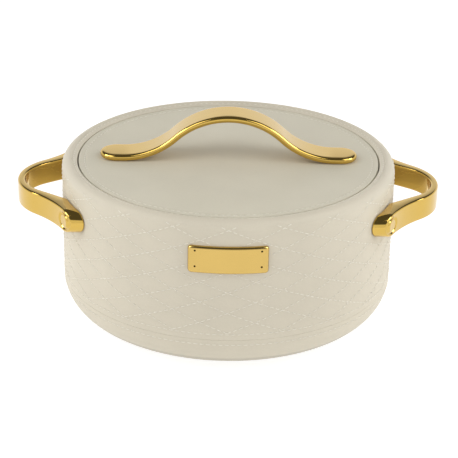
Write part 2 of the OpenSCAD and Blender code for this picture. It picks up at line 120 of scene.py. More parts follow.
# Side handles: an arch and hollow arms, with a ring sunk in each blunt end
GRIP_MID_Z = 103.4
GRIP_REACH = 38.2
GRIP_W = 159.0
GRIP_ARCH_R = 48.0
GRIP_ARM_A = math.radians(50)
GRIP_BEND_R = 110.0
GRIP_IN_R = 36.0
GRIP_IN_A = math.radians(54)
GRIP_H = 19.5
GRIP_T = 6.5
GRIP_EDGE = 1.6
GRIP_END_EDGE = 3.4
RING_R = 6.7
RING_INSET = 7.9
RING_DEPTH = 1.9
RING_WIDTH = 0.85
FITTING_GAP = 0.05
# Angles from the side between which a handle's pads lie
PAD_ARC = (22, 36)
# Points along the path
GRIP_POINTS = 315

# Lid handle
BOW_LEN = 216.5
BOW_W = 28.5
BOW_T = 5.6
BOW_EDGE = 2.6
BOW_CROWN = 0.05
BOW_RISE = 35.4
BOW_FOOT = 19.0
# Points along each arc
BOW_POINTS = 60

# Faces of the polished strips: spacing along them, steps round an edge and an end, and points across a face,
# with more of them across and along a sunk ring and a margin past it
BAND_SPACING = 1.5
BAND_EDGE_STEPS = 10
BAND_END_STEPS = 24
BAND_POINTS = 6
RING_POINTS_ACROSS = 36
RING_POINTS_ALONG = 40
RING_MARGIN = 2.0
GRIP_CROWN = 0.2

# Name plate
NAME_W = 63.0
NAME_H = 23.0
NAME_T = 2.8
NAME_CORNER = 2.6
NAME_EDGE = 2.4
NAME_MID_Z = 103.0
PIN_X = 26.0
PIN_Z = 6.7
PIN_MID_Z = 104.3
PIN_HOLE_R = 0.85
PLATE_SHARP = 40
# Chamfer of the back edge, and the margins sideways and upright within which no stitch shows
NAME_BACK_EDGE = 0.2
NAME_MARGIN = (1.0, 0.5)

# Bowl, seal, lid pan and base
BOWL_R = 117.0
BOWL_T = 1.0
BOWL_FILLET = 25.0
BOWL_FLOOR_Z = 22.0
FLANGE_Z = 119.7
FLANGE_R = 126.6
PLUG_R = 113.0
PLUG_Z = 98.2
PLUG_FILLET = 6.0
PAN_Z = 122.2
PAN_T = 1.0
PAN_FLANGE_R = 123.3
SEAL_R = 124.6
LIP_R = 116.6
LIP_T = 1.8
LIP_H = 8.0
LIP_ROUND = 0.6
DRAWN_SHARP = 35
SEAL_SHARP = 40


# Profiles and meshes


def arc(centre, radius, start, end, steps):
    """Points of an arc, with angles in degrees."""
    a = np.radians(np.linspace(start, end, steps + 1))
    return np.stack([centre[0] + radius * np.cos(a), centre[1] + radius * np.sin(a)], 1)


def line(start, end, steps=1):
    return np.linspace(start, end, steps + 1)


def chain(*parts):
    """One run of points from several, without repeated ones, also where a loop closes."""
    points = np.vstack(parts)
    gap = np.linalg.norm(points - np.roll(points, 1, 0), axis=1)
    return points[gap > 1e-6]


def mesh_object(name, points, faces, sharp=None):
    """Object from points in millimetres. Edges sharper than an angle in degrees stay crisp."""
    mesh = bpy.data.meshes.new(name)
    mesh.from_pydata((np.asarray(points) * MM).tolist(), [], faces)
    shape = bmesh.new()
    shape.from_mesh(mesh)
    bmesh.ops.remove_doubles(shape, verts=shape.verts, dist=1e-7)
    bmesh.ops.recalc_face_normals(shape, faces=shape.faces)
    shape.to_mesh(mesh)
    shape.free()
    mesh.polygons.foreach_set("use_smooth", [True] * len(mesh.polygons))
    if sharp:
        mesh.set_sharp_from_angle(angle=math.radians(sharp))
    obj = bpy.data.objects.new(name, mesh)
    bpy.context.scene.collection.objects.link(obj)
    return obj


def grid_faces(rows, columns, close_rows=False):
    """Quads of a grid whose columns wrap round, and whose rows wrap too if asked."""
    last = rows if close_rows else rows - 1
    r, c = np.meshgrid(np.arange(last), np.arange(columns), indexing="ij")
    r1, c1 = (r + 1) % rows, (c + 1) % columns
    quads = [r * columns + c, r * columns + c1, r1 * columns + c1, r1 * columns + c]
    return np.stack(quads, -1).reshape(-1, 4).tolist()


def revolve(name, profile, columns=256, depth=None, sharp=None):
    """Turns a closed profile of (r, z) round the axis. depth sinks points along the profile's normal."""
    angle = np.linspace(0, 2 * math.pi, columns, endpoint=False)
    tangent = np.roll(profile, -1, 0) - np.roll(profile, 1, 0)
    normal = np.stack([tangent[:, 1], -tangent[:, 0]], 1)
    normal /= np.maximum(np.linalg.norm(normal, axis=1, keepdims=True), 1e-9)
    sunk = np.zeros((len(profile), columns)) if depth is None else depth
    radius = profile[:, :1] - normal[:, :1] * sunk
    height = profile[:, 1:] - normal[:, 1:] * sunk
    points = np.stack([radius * np.sin(angle), -radius * np.cos(angle), height], -1)
    return mesh_object(name, points.reshape(-1, 3), grid_faces(len(profile), columns, True), sharp)


def dress(obj, material, body, slot, *replaced):
    """Gives a piece its material and body, and hides the nodes that it stands for. slot is not used."""
    obj.data.materials.clear()
    obj.data.materials.append(material)
    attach(obj, body)
    if replaced:
        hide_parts(*replaced)
    return obj


# Materials


def new_material(name, color, roughness, metallic=0.0):
    """Material with a plain shader, and its node tree and shader."""
    material = bpy.data.materials.new(name)
    material.use_nodes = True
    tree = material.node_tree
    shader = tree.nodes["Principled BSDF"]
    shader.inputs["Base Color"].default_value = (*color, 1)
    shader.inputs["Roughness"].default_value = roughness
    shader.inputs["Metallic"].default_value = metallic
    return material, tree, shader


def add_node(tree, kind, links=(), **values):
    """Node with input values by name, and links from other outputs."""
    node = tree.nodes.new(kind)
    for key, value in values.items():
        if hasattr(node, key):
            setattr(node, key, value)
        else:
            node.inputs[key.replace("_", " ")].default_value = value
    for socket, output in links:
        tree.links.new(output, node.inputs[socket])
    return node


def object_coords(tree, stretch=(1, 1, 1)):
    coords = tree.nodes.new("ShaderNodeTexCoord")
    mapping = add_node(tree, "ShaderNodeMapping", [("Vector", coords.outputs["Object"])], Scale=stretch)
    return mapping.outputs["Vector"]


def noise(tree, vector, scale, detail=3.0, rough=0.5):
    links = [("Vector", vector)]
    node = add_node(tree, "ShaderNodeTexNoise", links, Scale=scale, Detail=detail, Roughness=rough)
    return node.outputs["Fac"]


def ramp(tree, value, low, high, low_value, high_value):
    """Maps a value's range to another one."""
    node = add_node(tree, "ShaderNodeMapRange", [("Value", value)])
    ends = {"From Min": low, "From Max": high, "To Min": low_value, "To Max": high_value}
    for socket, number in ends.items():
        node.inputs[socket].default_value = number
    return node.outputs["Result"]


def mix_color(tree, factor, first, second):
    """Colour between two others, each a colour or an output."""
    node = add_node(tree, "ShaderNodeMix", data_type="RGBA")
    tree.links.new(factor, node.inputs[0])
    for socket, value in ((6, first), (7, second)):
        if isinstance(value, bpy.types.NodeSocket):
            tree.links.new(value, node.inputs[socket])
        else:
            node.inputs[socket].default_value = (*value, 1)
    return node.outputs[2]


def bump(tree, shader, *layers):
    """Stacks bump layers of (height output, strength, depth in metres)."""
    normal = None
    for height, strength, depth in layers:
        links = [("Height", height)] + ([("Normal", normal)] if normal else [])
        node = add_node(tree, "ShaderNodeBump", links, Strength=strength, Distance=depth)
        normal = node.outputs["Normal"]
    tree.links.new(normal, shader.inputs["Normal"])


def darker(color, share):
    return tuple(c * share for c in color)


def leather_material(name, color):
    """Fine-grained leather: pebbled bump, soft tone variation, and painted shade in its sewn grooves and
    along its lower edge, where its groove attribute asks for it.
    """
    material, tree, shader = new_material(name, color, 0.55)
    vector = object_coords(tree)
    pebble = add_node(tree, "ShaderNodeTexVoronoi", [("Vector", vector)], feature="SMOOTH_F1", Scale=950.0)
    fine = noise(tree, vector, 2600.0)
    broad = noise(tree, vector, 22.0, 2.0)
    groove = add_node(tree, "ShaderNodeAttribute", attribute_name="groove").outputs["Fac"]
    toned = mix_color(tree, ramp(tree, broad, 0.35, 0.65, 0, 1), darker(color, 0.965), color)
    between = ramp(tree, pebble.outputs["Distance"], 0.0, 0.9, 0.0, 0.10)
    grained = mix_color(tree, between, toned, darker(color, 0.6))
    # Painted shade: the groove attribute darkens the colour in sewn grooves and along the lower edge
    shaded = mix_color(tree, groove, grained, darker(color, 0.62))
    tree.links.new(shaded, shader.inputs["Base Color"])
    tree.links.new(ramp(tree, fine, 0.3, 0.7, 0.48, 0.62), shader.inputs["Roughness"])
    shader.inputs["Specular IOR Level"].default_value = 0.3
    bump(tree, shader, (pebble.outputs["Distance"], 0.28, 0.00025), (fine, 0.18, 0.0001))
    return material


def thread_material(name, color):
    """Twisted sewing thread."""
    material, tree, shader = new_material(name, color, 0.6)
    vector = object_coords(tree)
    twist = noise(tree, vector, 3500.0, 2.0)
    tone = mix_color(tree, ramp(tree, twist, 0.35, 0.65, 0.0, 1.0), darker(color, 0.88), color)
    tree.links.new(tone, shader.inputs["Base Color"])
    shader.inputs["Sheen Weight"].default_value = 0.15
    bump(tree, shader, (twist, 0.4, 0.0002))
    return material


def polished_material(name, color, roughness, coat=0.0):
    """Polished plating: near-mirror surface with faint haze and hairline scratches, under some clear coat."""
    material, tree, shader = new_material(name, color, roughness, 1.0)
    haze = noise(tree, object_coords(tree), 55.0, 4.0)
    hairs = noise(tree, object_coords(tree, (40, 900, 900)), 1.0, 2.0)
    tone = mix_color(tree, ramp(tree, haze, 0.3, 0.7, 0, 1), darker(color, 0.97), color)
    tree.links.new(tone, shader.inputs["Base Color"])
    tree.links.new(ramp(tree, haze, 0.3, 0.7, roughness * 0.75, roughness * 1.4), shader.inputs["Roughness"])
    shader.inputs["Coat Weight"].default_value = coat
    shader.inputs["Coat Roughness"].default_value = 0.04
    bump(tree, shader, (hairs, 0.02, 0.00005))
    return material


def steel_material(name, color, roughness, turned=True):
    """Satin steel, with fine turning lines round the pot's axis if turned."""
    material, tree, shader = new_material(name, color, roughness, 1.0)
    vector = object_coords(tree)
    if turned:
        rings = add_node(
            tree, "ShaderNodeTexWave", [("Vector", vector)], wave_type="RINGS", rings_direction="Z",
            Scale=420.0, Distortion=1.5, Detail=2.0,
        ).outputs["Fac"]
    else:
        rings = noise(tree, vector, 1800.0)
    cloud = noise(tree, vector, 30.0)
    tone = mix_color(tree, ramp(tree, cloud, 0.3, 0.7, 0, 1), darker(color, 0.93), color)
    tree.links.new(tone, shader.inputs["Base Color"])
    tree.links.new(ramp(tree, rings, 0.0, 1.0, roughness * 0.85, roughness * 1.2), shader.inputs["Roughness"])
    bump(tree, shader, (rings, 0.05, 0.00005))
    return material


def moulded_material(name, color, roughness, grain, strength, sheen=0.0):
    """Plain body with a fine texture: plastic, rubber, silicone, foam or board."""
    material, tree, shader = new_material(name, color, roughness)
    vector = object_coords(tree)
    texture = noise(tree, vector, grain, 4.0, 0.6)
    cloud = noise(tree, vector, 25.0)
    tone = mix_color(tree, ramp(tree, cloud, 0.3, 0.7, 0, 1), darker(color, 0.9), color)
    speckled = mix_color(tree, ramp(tree, texture, 0.35, 0.7, 0.0, 0.3), tone, darker(color, 0.75))
    tree.links.new(speckled, shader.inputs["Base Color"])
    dull = ramp(tree, texture, 0.3, 0.7, roughness * 0.9, min(1, roughness * 1.1))
    tree.links.new(dull, shader.inputs["Roughness"])
    shader.inputs["Sheen Weight"].default_value = sheen
    bump(tree, shader, (texture, strength, 0.0003))
    return material


LEATHER = (0.700, 0.642, 0.518)
LID_LEATHER = (0.685, 0.641, 0.514)
THREAD = (0.860, 0.815, 0.705)
GOLD = (0.655, 0.434, 0.090)
PLATE_GOLD = (0.650, 0.448, 0.138)

leather = leather_material("cream_leather", LEATHER)
lid_leather = leather_material("lid_leather", LID_LEATHER)
thread = thread_material("cream_thread", THREAD)
gold = polished_material("polished_gold", GOLD, 0.07, 0.4)
plate_gold = polished_material("plate_gold", PLATE_GOLD, 0.10)
# Pins coloured near black: painted shade of the holes they are sunk in
pin_gold_painted_dark = polished_material("pin_gold_painted_shade", darker(GOLD, 0.10), 0.4)
steel = steel_material("satin_steel", (0.62, 0.62, 0.63), 0.28)
screw_steel = steel_material("screw_steel", (0.55, 0.55, 0.56), 0.32, False)
plastic = moulded_material("moulded_plastic", (0.075, 0.070, 0.066), 0.5, 1500.0, 0.25)
foam = moulded_material("closed_cell_foam", (0.80, 0.70, 0.45), 0.9, 700.0, 0.8)
rubber = moulded_material("foot_rubber", (0.025, 0.025, 0.025), 0.75, 1200.0, 0.4)
silicone = moulded_material("seal_silicone", (0.62, 0.62, 0.60), 0.42, 900.0, 0.1)
board = moulded_material("fibreboard", (0.36, 0.25, 0.15), 0.85, 500.0, 0.5)


# Sewn lines


def gaussian(distance, width):
    return np.exp(-np.square(distance / width))


def quilt_depth(x, z):
    """Depth of the quilted wall at an arc length and a height: sewn grooves between raised diamonds."""
    across, up = x / CELL_W, (z - CROSSING_Z) / CELL_H
    spacing = CELL_W * CELL_H / math.hypot(CELL_W, CELL_H)
    near = [np.abs(p - np.round(p)) * spacing for p in (up + across, up - across)]
    nearest = np.minimum(*near)
    above = np.clip((z - QUILT_LOW_Z) / QUILT_FADE + 1, 0, 1)
    below = np.clip((QUILT_HIGH_Z + QUILT_PAST - z) / QUILT_FADE, 0, 1)
    groove = GROOVE_DEPTH * gaussian(nearest, GROOVE_WIDTH)
    puff = PUFF_DEPTH * gaussian(nearest, PUFF_WIDTH)
    return (groove + puff) * above * below


def store_painted_shade(obj, share):
    """Stores each point's share of the painted shade that darkens the leather in its grooves and along its
    lower edge.
    """
    groove = obj.data.attributes.new("groove", "FLOAT", "POINT")
    groove.data.foreach_set("value", np.clip(share, 0, 1).astype(np.float32).ravel())


def stitches(name, centres, tangents, normals):
    """Short threads that dip into the leather at both ends, at centres in millimetres."""
    sides = STITCH_SIDES
    run = np.linspace(-1, 1, STITCH_RINGS)
    girth = THREAD_D / 2 * np.sqrt(np.clip(1.06 - np.power(run, 6), 0.1, 1))
    lift = THREAD_D * (THREAD_LIFT - THREAD_DIP * np.power(run, 4))
    turn = np.linspace(0, 2 * math.pi, sides, endpoint=False)
    along = np.repeat(run * STITCH_LENGTH / 2, sides)
    side = np.outer(girth, np.cos(turn)).ravel()
    up = (np.outer(girth * THREAD_FLAT, np.sin(turn)) + lift[:, None]).ravel()
    binormals = np.cross(normals, tangents)
    points = (
        centres[:, None]
        + along[None, :, None] * tangents[:, None]
        + side[None, :, None] * binormals[:, None]
        + up[None, :, None] * normals[:, None]
    )
    block = STITCH_RINGS * sides
    one = np.array(grid_faces(STITCH_RINGS, sides))
    faces = (one[None] + block * np.arange(len(centres))[:, None, None]).reshape(-1, 4).tolist()
    for i in range(len(centres)):
        faces.append(list(range(i * block, i * block + sides))[::-1])
        faces.append(list(range((i + 1) * block - sides, (i + 1) * block)))
    return mesh_object(name, points.reshape(-1, 3), faces)


def ring_stitches(name, radius, height, tilt):
    """Ring of stitches. tilt is the surface normal's angle above the horizontal, in degrees."""
    count = round(2 * math.pi * radius / STITCH_PITCH)
    a = np.linspace(0, 2 * math.pi, count, endpoint=False)
    out = np.stack([np.sin(a), -np.cos(a), np.zeros(count)], 1)
    up = np.array([0.0, 0.0, 1.0])
    t = math.radians(tilt)
    tangents = np.stack([np.cos(a), np.sin(a), np.zeros(count)], 1)
    return stitches(name, out * radius + up * height, tangents, out * math.cos(t) + up * math.sin(t))


def quilt_stitches(name):
    """Stitches along both families of diagonals, left out behind the name plate and the handle pads."""
    slant = math.hypot(CELL_W, CELL_H)
    count = int((QUILT_HIGH_Z - QUILT_LOW_Z) / CELL_H * slant / STITCH_PITCH)
    z = QUILT_LOW_Z + (np.arange(count) + 0.5) * STITCH_PITCH * CELL_H / slant
    up = np.array([0.0, 0.0, 1.0])
    centres, tangents, normals = [], [], []
    for family in (1, -1):
        for i in range(CELLS):
            x = i * CELL_W + family * (z - CROSSING_Z) / CELL_H * CELL_W
            a = x / BODY_R
            out = np.stack([np.sin(a), -np.cos(a), np.zeros(count)], 1)
            sideways = np.stack([np.cos(a), np.sin(a), np.zeros(count)], 1)
            radius = wall_radius(z) - quilt_depth(x, z)
            place = out * radius[:, None] + up * z[:, None]
            tilt = np.arcsin(np.clip((z - CROWN_Z + SHOULDER_R) / SHOULDER_R, 0, 1))[:, None]
            climb = up * np.cos(tilt) - out * np.sin(tilt)
            seen = ~covered(place)
            centres.append(place[seen])
            tangents.append((family * sideways * CELL_W / slant + climb * CELL_H / slant)[seen])
            normals.append((out * np.cos(tilt) + up * np.sin(tilt))[seen])
    return stitches(name, np.vstack(centres), np.vstack(tangents), np.vstack(normals))


def wall_radius(z):
    """Radius of the wall at a height, with the shoulder's curve near the top."""
    rise = np.clip(z - (CROWN_Z - SHOULDER_R), 0, SHOULDER_R)
    return BODY_R - SHOULDER_R + np.sqrt(SHOULDER_R**2 - rise**2)


def covered(place):
    """True for points behind the name plate or a handle's pad."""
    x, y, z = place.T
    beside = np.abs(x) > NAME_W / 2 + NAME_MARGIN[0]
    off_level = np.abs(z - NAME_MID_Z) > NAME_H / 2 + NAME_MARGIN[1]
    plate = (y < 0) & ~beside & ~off_level
    side = np.abs(np.degrees(np.arctan2(y, np.abs(x))))
    pad = (side > PAD_ARC[0]) & (side < PAD_ARC[1]) & (np.abs(z - GRIP_MID_Z) < GRIP_H / 2)
    return plate | pad


# Leather


def pressed(profile, lowest):
    """Profile whose points above a height are brought down to the cone round the lid."""
    cone = LID_TOP_Z + PRESS_SLOPE * (profile[:, 0] - PRESS_R)
    height = np.where(profile[:, 1] > lowest, np.minimum(profile[:, 1], cone), profile[:, 1])
    return np.column_stack([profile[:, 0], height])


def ring_groove(on_face, distance, depth, width):
    """Depth of a groove round a cover, at points on its face by their distance from the stitches."""
    return on_face * depth * gaussian(distance, width) * np.ones((1, COVER_COLUMNS))


def wall_leather():
    """Quilted cover of wall and shoulder, folded in at the lower seam and at the crown."""
    low = SEAM_Z + SEAM_GAP / 2
    shoulder = (BODY_R - SHOULDER_R, CROWN_Z - SHOULDER_R)
    fold_a = math.degrees(math.acos((SEAM_GAP / 2 + FOLD_R) / (SHOULDER_R - FOLD_R)))
    fold = arc(shoulder, SHOULDER_R - FOLD_R, fold_a, fold_a, 0)[0]
    fold_steps, edge_steps = 4, 5
    edge = pressed(arc(fold, FOLD_R, fold_a, 180, edge_steps), shoulder[1])
    edge[:, 1] -= np.linspace(0, SEAM_DIP, len(edge))
    inner_r = BODY_R - LEATHER_T
    outside = chain(
        arc((BODY_R - FOLD_R, low + FOLD_R), FOLD_R, -90, 0, fold_steps),
        line((BODY_R, low + FOLD_R), (BODY_R, shoulder[1]), 84),
        pressed(arc(shoulder, SHOULDER_R, 0, fold_a, 24), shoulder[1]),
        edge,
    )
    inside = chain(
        arc(shoulder, SHOULDER_R - LEATHER_T, INNER_END_A, 0, 8),
        line((inner_r, shoulder[1]), (inner_r, low), 6),
    )
    profile = chain(outside, inside)
    x = np.linspace(0, 2 * math.pi * BODY_R, WALL_COLUMNS, endpoint=False)
    z = profile[:, 1:]
    on_wall = np.zeros((len(profile), 1))
    on_wall[fold_steps:len(outside) - edge_steps - 1] = 1
    depth = on_wall * (quilt_depth(x[None], z) + GROOVE_DEPTH * gaussian(z - WALL_ROW_Z, GROOVE_WIDTH))
    obj = revolve("wall_leather", profile, WALL_COLUMNS, depth)
    # Painted shade in the quilting's grooves and hollows, following their depth
    store_painted_shade(obj, GROOVE_PAINTED_SHADE * depth / (GROOVE_DEPTH + PUFF_DEPTH))
    return dress(obj, leather, "pot", "leather", "wall_cover")


def rim_leather():
    """Cover of the rim, from the crown's seam over its inner half and down beside the lid."""
    seam_r = BODY_R - SHOULDER_R - SEAM_GAP / 2
    roll = (RIM_IN_R + RIM_ROLL_R, CROWN_Z - RIM_ROLL_R)
    inner_r = RIM_IN_R + LEATHER_T
    edge = pressed(arc((seam_r - FOLD_R, CROWN_Z - FOLD_R), FOLD_R, 0, 80, 5), roll[1])
    edge[:, 1] -= np.linspace(SEAM_DIP, 0, len(edge))
    profile = chain(
        edge,
        pressed(arc(roll, RIM_ROLL_R, 100, 180, 28), roll[1]),
        line((RIM_IN_R, roll[1]), (RIM_IN_R, RIM_LOW_Z), 8),
        line((inner_r, RIM_LOW_Z), (inner_r, roll[1]), 4),
        arc(roll, RIM_ROLL_R - LEATHER_T, 180, 95, 8),
        line((seam_r, CROWN_Z - LEATHER_T), (seam_r, CROWN_Z - LEATHER_T + FOLD_R), 1),
    )[::-1]
    cone = LID_TOP_Z + PRESS_SLOPE * (profile[:, 0] - PRESS_R)
    on_top = np.abs(profile[:, 1:] - cone[:, None]) < ON_FACE
    depth = ring_groove(on_top, profile[:, :1] - RIM_ROW_R, *RIM_GROOVE)
    obj = revolve("rim_leather", profile, COVER_COLUMNS, depth)
    # Painted shade in the rim's sewn groove
    store_painted_shade(obj, GROOVE_PAINTED_SHADE * depth / RIM_GROOVE[0])
    return dress(obj, leather, "pot", "leather", "rim_cover")


def base_leather():
    """Plain band from the lower seam round the bottom edge, tucked in under the pot."""
    high = SEAM_Z - SEAM_GAP / 2
    fillet = (BODY_R - BASE_FILLET, UNDER_Z + BASE_FILLET)
    inner = BASE_FILLET - LEATHER_T
    profile = chain(
        line((BODY_R - LEATHER_T, high), (BODY_R - FOLD_R, high), 1),
        arc((BODY_R - FOLD_R, high - FOLD_R), FOLD_R, 90, 0, 4),
        arc(fillet, BASE_FILLET, -1, -90, 48),
        line((fillet[0], UNDER_Z), (TUCK_R, UNDER_Z), 4),
        line((TUCK_R, UNDER_Z + LEATHER_T), (fillet[0], UNDER_Z + LEATHER_T), 2),
        arc(fillet, inner, -90, 0, 12),
    )[::-1]
    outer = np.hypot(*(profile - fillet).T)[:, None] > BASE_FILLET - LEATHER_T / 2
    depth = ring_groove(outer, profile[:, 1:] - BASE_ROW_Z, GROOVE_DEPTH, GROOVE_WIDTH)
    obj = revolve("base_leather", profile, COVER_COLUMNS, depth)
    # Painted shade along the lower edge, darker towards the bottom, and in the lower row's groove
    painted_edge_shade = BASE_EDGE_PAINTED_SHADE * np.clip((BASE_SHADE_Z - profile[:, 1:]) / BASE_SHADE_FADE, 0, 1)
    store_painted_shade(obj, GROOVE_PAINTED_SHADE * depth / GROOVE_DEPTH + painted_edge_shade)
    return dress(obj, leather, "pot", "leather", "base_band")


def lid_top():
    """Leather cap over the lid board, with a sewn groove near its edge."""
    inner_r = LID_R - LEATHER_T
    edge = (LID_R - LID_EDGE_R, LID_TOP_Z - LID_EDGE_R)
    fine_r = LID_ROW_R - LID_FINE_W
    profile = chain(
        line((inner_r, LID_LOW_Z), (LID_R, LID_LOW_Z), 1),
        line((LID_R, LID_LOW_Z), (LID_R, edge[1]), 6),
        arc(edge, LID_EDGE_R, 0, 90, 6),
        line((edge[0], LID_TOP_Z), (fine_r, LID_TOP_Z), 26),
        line((fine_r, LID_TOP_Z), (0, LID_TOP_Z), 30),
        line((0, LID_TOP_Z - LEATHER_T), (inner_r, LID_TOP_Z - LEATHER_T), 8),
    )
    on_top = profile[:, 1:] > LID_TOP_Z - ON_FACE
    depth = ring_groove(on_top, profile[:, :1] - LID_ROW_R, *LID_GROOVE)
    obj = revolve("lid_leather_top", profile, COVER_COLUMNS, depth)
    return dress(obj, lid_leather, "lid", "lid_leather", "lid_cover")


wall_leather()
rim_leather()
base_leather()
lid_top()
base_drop = UNDER_Z + BASE_FILLET - BASE_ROW_Z
base_row_r = BODY_R - BASE_FILLET + math.sqrt(BASE_FILLET**2 - base_drop**2) - GROOVE_DEPTH
base_tilt = -math.degrees(math.asin(base_drop / BASE_FILLET))
rim_row_z = LID_TOP_Z + PRESS_SLOPE * (RIM_ROW_R - PRESS_R)
rim_tilt = 90 + math.degrees(math.atan(PRESS_SLOPE))
rows = [
    quilt_stitches("quilt_stitches"),
    ring_stitches("wall_row_stitches", BODY_R - GROOVE_DEPTH, WALL_ROW_Z, 0),
    ring_stitches("base_row_stitches", base_row_r, BASE_ROW_Z, base_tilt),
    ring_stitches("rim_row_stitches", RIM_ROW_R, rim_row_z - RIM_GROOVE[0], rim_tilt),
]
for row in rows:
    dress(row, thread, "pot", "leather")
lid_row = ring_stitches("lid_row_stitches", LID_ROW_R, LID_TOP_Z - LID_GROOVE[0], 90)
dress(lid_row, thread, "lid", "lid_leather")


# Gold metal


def even_path(points, normals, spacing=1.0):
    """Path resampled evenly by length, as (lengths, points, normals)."""
    steps = np.r_[0, np.cumsum(np.linalg.norm(np.diff(points, axis=0), axis=1))]
    keep = np.r_[True, np.diff(steps) > 1e-6]
    lengths = np.linspace(0, steps[-1], int(steps[-1] / spacing) + 1)
    sample = lambda rows: np.stack([np.interp(lengths, steps[keep], c) for c in rows[keep].T], 1)
    unit = sample(normals)
    return lengths, sample(points), unit / np.linalg.norm(unit, axis=1, keepdims=True)


def band(name, path, inner, outer, half_w, edge, end_edge, across, crown, ring=0.0):
    """Polished strip along a path, with rounded edges and round ends. inner and outer are its two faces'
    distances from the path along its normals, each a function of the length along it. The outer face's edge
    takes another radius towards its ends, and both faces are crowned by a height. A ring of a given radius
    is sunk in the outer face at each end."""
    lengths, points, normals = path
    total = lengths[-1]
    turn = np.radians(np.linspace(0, 90, BAND_EDGE_STEPS + 1))[1:]
    share = np.linspace(0, 1, RING_POINTS_ACROSS if ring else BAND_POINTS)
    straight = np.linspace(half_w, total - half_w, int((total - 2 * half_w) / BAND_SPACING))
    if ring:
        fine = np.linspace(half_w, half_w + ring + RING_MARGIN, RING_POINTS_ALONG)
        middle = straight[(straight > fine[-1]) & (straight < total - fine[-1])]
        straight = np.r_[fine, middle, total - fine[::-1]]
    swing = np.radians(np.linspace(-90, 90, BAND_END_STEPS + 1))[1:-1]
    rays = [(s, 0.0, 1.0) for s in straight]
    rays += [(total - half_w, math.cos(a), -math.sin(a)) for a in swing]
    rays += [(s, 0.0, -1.0) for s in straight[::-1]]
    rays += [(half_w, -math.cos(a), math.sin(a)) for a in swing]
    start, forward, side = (np.array(c)[:, None] for c in zip(*rays))

    def face(radius):
        """Distances from the middle line and drops of one face, for each ray's edge radius."""
        reach = np.hstack([(half_w - radius) * share, half_w - radius + radius * np.sin(turn)])
        drop = np.hstack([0 * radius * share, radius - radius * np.cos(turn)])
        return reach, drop + crown * np.square(reach / half_w)

    outside = face(edge + (end_edge - edge) * np.square(forward))
    inside = face(edge + 0 * forward)
    reach, sunk = (np.hstack([a, b[:, ::-1]]) for a, b in zip(outside, inside))
    rows = reach.shape[1]
    on_outer = np.arange(rows) < rows // 2
    s = start + forward * reach
    at = lambda values: np.stack([np.interp(s, lengths, c) for c in values.T], -1)
    if ring:
        from_ring = np.hypot(np.minimum(s, total - s) - RING_INSET, side * reach) - ring
        sunk = sunk + RING_DEPTH * gaussian(from_ring, RING_WIDTH) * on_outer
    offset = np.where(on_outer, outer(s) - sunk, inner(s) + sunk)
    place = at(points) + at(normals) * offset[..., None] + (side * reach)[..., None] * np.array(across)
    return mesh_object(name, place.transpose(1, 0, 2).reshape(-1, 3), grid_faces(rows, len(rays)))


def depth_to_circle(x, y, a, radius):
    """Distance from a point, against the direction at an angle, to a circle round the origin."""
    run = x * np.cos(a) + y * np.sin(a)
    return run - np.sqrt(np.maximum(np.square(run) - x * x - y * y + radius**2, 0))


def side_handle(name, node, mirror):
    """Bow handle: an arch, and arms that are hollow outside and thicken to blunt ends on the wall.
    Its path is the outer face in plan, measured by the distance across from one end."""
    arch_x = BODY_R + GRIP_REACH - GRIP_ARCH_R
    facing = np.array([math.cos(GRIP_ARM_A), math.sin(GRIP_ARM_A)])
    bend = np.array([arch_x, 0]) + (GRIP_ARCH_R + GRIP_BEND_R) * facing
    inner_x = BODY_R + GRIP_REACH - GRIP_T - GRIP_IN_R
    arm_in = inner_x * math.cos(GRIP_IN_A) + GRIP_IN_R
    arch_end = GRIP_ARCH_R * facing[1]
    wall_r = BODY_R + FITTING_GAP
    half_w = GRIP_W / 2
    y = np.linspace(-half_w, half_w, GRIP_POINTS)
    off = np.abs(y)
    on_arch = off < arch_end
    arch_a = np.arcsin(np.minimum(off, arch_end) / GRIP_ARCH_R)
    share = np.clip((off - arch_end) / (half_w - GRIP_H / 2 - arch_end), 0, 1)
    a = np.where(on_arch, arch_a, GRIP_ARM_A * (1 - share))
    x = np.where(
        on_arch,
        arch_x + GRIP_ARCH_R * np.cos(arch_a),
        bend[0] - np.sqrt(np.maximum(GRIP_BEND_R**2 - np.square(bend[1] - off), 0)),
    )
    to_arch = depth_to_circle(x - inner_x, off, a, GRIP_IN_R)
    to_arm = (x * math.cos(GRIP_IN_A) + off * math.sin(GRIP_IN_A) - arm_in) / np.cos(GRIP_IN_A - a)
    hit_a = np.arctan2(off - to_arch * np.sin(a), x - inner_x - to_arch * np.cos(a))
    inside = np.where(hit_a < GRIP_IN_A, to_arch, to_arm)
    depth = np.minimum(inside, depth_to_circle(x, off, a, wall_r))
    side = -1.0 if mirror else 1.0
    points = np.column_stack([side * x, y, np.full(len(y), GRIP_MID_Z)])
    normals = np.column_stack([side * np.cos(a), np.sign(y) * np.sin(a), np.zeros(len(y))])
    inner = lambda s: -np.interp(s, y + half_w, depth)
    outer = lambda s: 0 * s
    path = (y + half_w, points, normals)
    edges = (GRIP_EDGE, GRIP_END_EDGE)
    obj = band(name, path, inner, outer, GRIP_H / 2, *edges, (0, 0, 1), GRIP_CROWN, RING_R)
    return dress(obj, gold, "pot", "gold", node)


